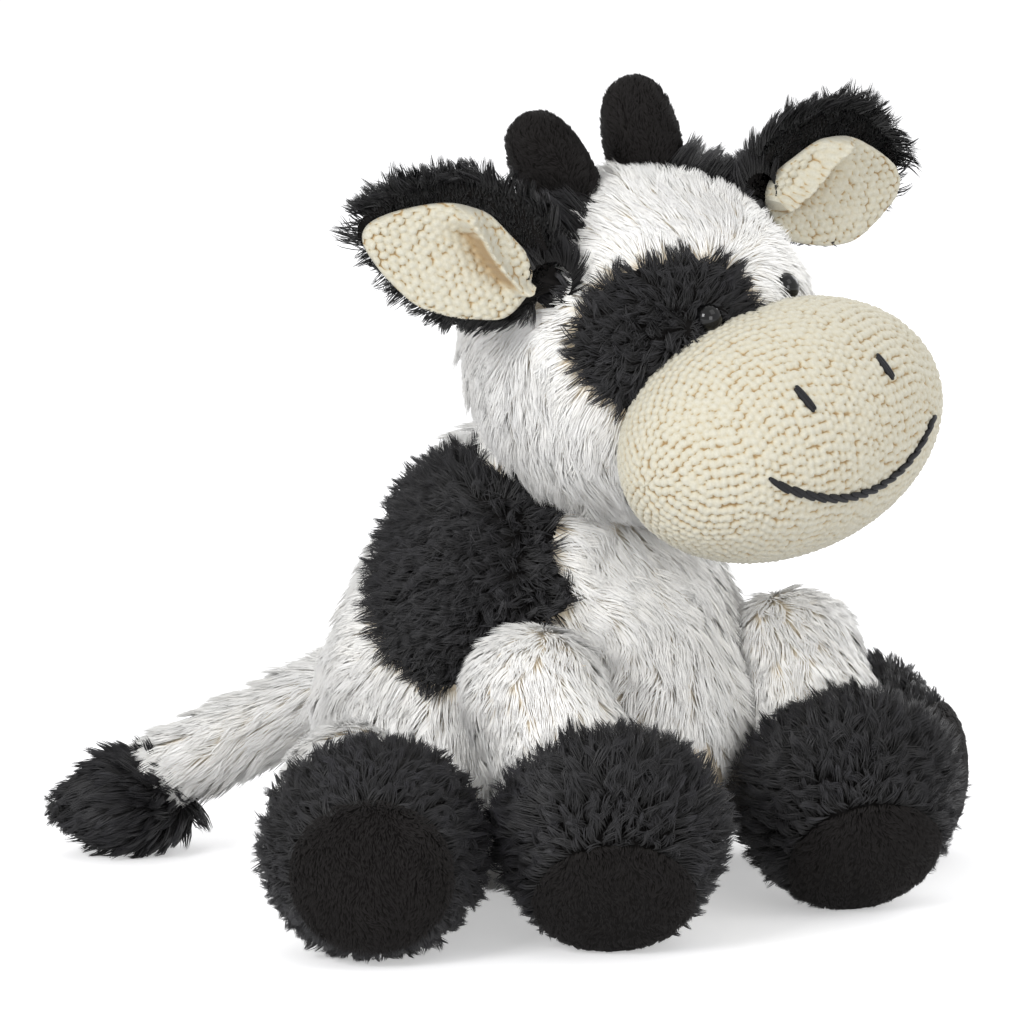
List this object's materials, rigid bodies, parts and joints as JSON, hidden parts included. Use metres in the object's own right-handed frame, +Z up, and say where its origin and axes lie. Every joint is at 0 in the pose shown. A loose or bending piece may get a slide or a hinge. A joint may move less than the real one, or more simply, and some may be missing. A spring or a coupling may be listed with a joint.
{
  "type": "plush cow",
  "caption": "Seated plush cow with a ball head, knitted muzzle, horns, ears, sewn-in patches, legs and tail that bend at soft joints.",
  "frame": {"origin": "on the floor the cow sits on, at the middle of the toy's bounding box seen from above", "axes": "+Z up, -Y the way the cow's body faces, +X its left side"},
  "size_m": [0.2971, 0.293, 0.2727],
  "materials": {
    "white_plush": "long combed pile",
    "black_plush": "long clumped pile",
    "black_velvet": "short matte pile",
    "cream_knit": "moss stitch knit",
    "black_thread": "satin embroidery thread",
    "eye_plastic": "polished dome",
    "washer_plastic": "plain moulded",
    "fibre_fill": "loose polyester fibre",
    "pellet_cloth": "plain woven bag"
  },
  "bodies": {
    "torso": {"torso_cover": "white_plush", "side_patch": "black_plush", "torso_stuffing": "fibre_fill", "seat_pellet_bag": "pellet_cloth"},
    "neck": {"neck_stuffing": "fibre_fill"},
    "head": {"head_cover": "white_plush", "eye_patch": "black_plush", "head_stuffing": "fibre_fill", "muzzle": "cream_knit", "mouth_stitch": "black_thread", "nostril_stitch_right": "black_thread", "nostril_stitch_left": "black_thread", "eye_right": "eye_plastic", "eye_left": "eye_plastic", "eye_washer_right": "washer_plastic", "eye_washer_left": "washer_plastic", "horn_right": "black_velvet", "horn_left": "black_velvet"},
    "ear_right": {"ear_right": "black_plush", "ear_lining_right": "cream_knit"},
    "ear_left": {"ear_left": "black_plush", "ear_lining_left": "cream_knit"},
    "front_leg_right": {"front_leg_right": "white_plush", "front_foot_right": "black_plush", "front_sole_right": "black_velvet"},
    "front_leg_left": {"front_leg_left": "white_plush", "front_foot_left": "black_plush", "front_sole_left": "black_velvet"},
    "hind_leg_right": {"hind_leg_right": "white_plush", "hind_foot_right": "black_plush", "hind_sole_right": "black_velvet"},
    "hind_leg_left": {"hind_leg_left": "white_plush", "hind_foot_left": "black_plush", "hind_sole_left": "black_velvet"},
    "tail": {"tail": "white_plush", "tail_tuft": "black_plush"}
  },
  "joints": [
    {"name": "neck_turn", "type": "hinge", "parent": "torso", "child": "neck", "pos_m": [0.0038, -0.0485, 0.1875], "axis": [0, -0.4384, 0.8988], "range_deg": [-20, 20], "stiffness_Nm_per_rad": 1.5},
    {"name": "head_nod", "type": "hinge", "parent": "neck", "child": "head", "pos_m": [0.0038, -0.0485, 0.1875], "axis": [0.9795, 0.0857, 0.1822], "range_deg": [-10, 6], "stiffness_Nm_per_rad": 2},
    {"name": "ear_flap_right", "type": "hinge", "parent": "head", "child": "ear_right", "pos_m": [-0.05057, -0.06482, 0.21366], "axis": [-0.0872, 0.9962, 0], "range_deg": [-15, 15], "stiffness_Nm_per_rad": 0.02},
    {"name": "ear_flap_left", "type": "hinge", "parent": "head", "child": "ear_left", "pos_m": [0.04478, -0.05604, 0.23408], "axis": [0.0872, -0.9962, 0], "range_deg": [-15, 15], "stiffness_Nm_per_rad": 0.02},
    {"name": "front_leg_raise_right", "type": "hinge", "parent": "torso", "child": "front_leg_right", "pos_m": [-0.05222, -0.06051, 0.07805], "axis": [-0.9927, -0.1209, 0], "range_deg": [0, 30], "stiffness_Nm_per_rad": 0.6},
    {"name": "front_leg_raise_left", "type": "hinge", "parent": "torso", "child": "front_leg_left", "pos_m": [0.05982, -0.06051, 0.07805], "axis": [-0.9838, 0.1795, 0], "range_deg": [0, 30], "stiffness_Nm_per_rad": 0.6},
    {"name": "hind_leg_raise_right", "type": "hinge", "parent": "torso", "child": "hind_leg_right", "pos_m": [-0.0742, 0.0015, 0.03602], "axis": [-0.8157, 0.5785, 0], "range_deg": [0, 15], "stiffness_Nm_per_rad": 0.6},
    {"name": "hind_leg_raise_left", "type": "hinge", "parent": "torso", "child": "hind_leg_left", "pos_m": [0.0818, 0.0015, 0.03602], "axis": [-0.7954, -0.6061, 0], "range_deg": [0, 15], "stiffness_Nm_per_rad": 0.6},
    {"name": "tail_wag", "type": "hinge", "parent": "torso", "child": "tail", "pos_m": [0.0038, 0.08753, 0.06004], "axis": [0, 0, 1], "range_deg": [-20, 20], "stiffness_Nm_per_rad": 0.15}
  ]
}
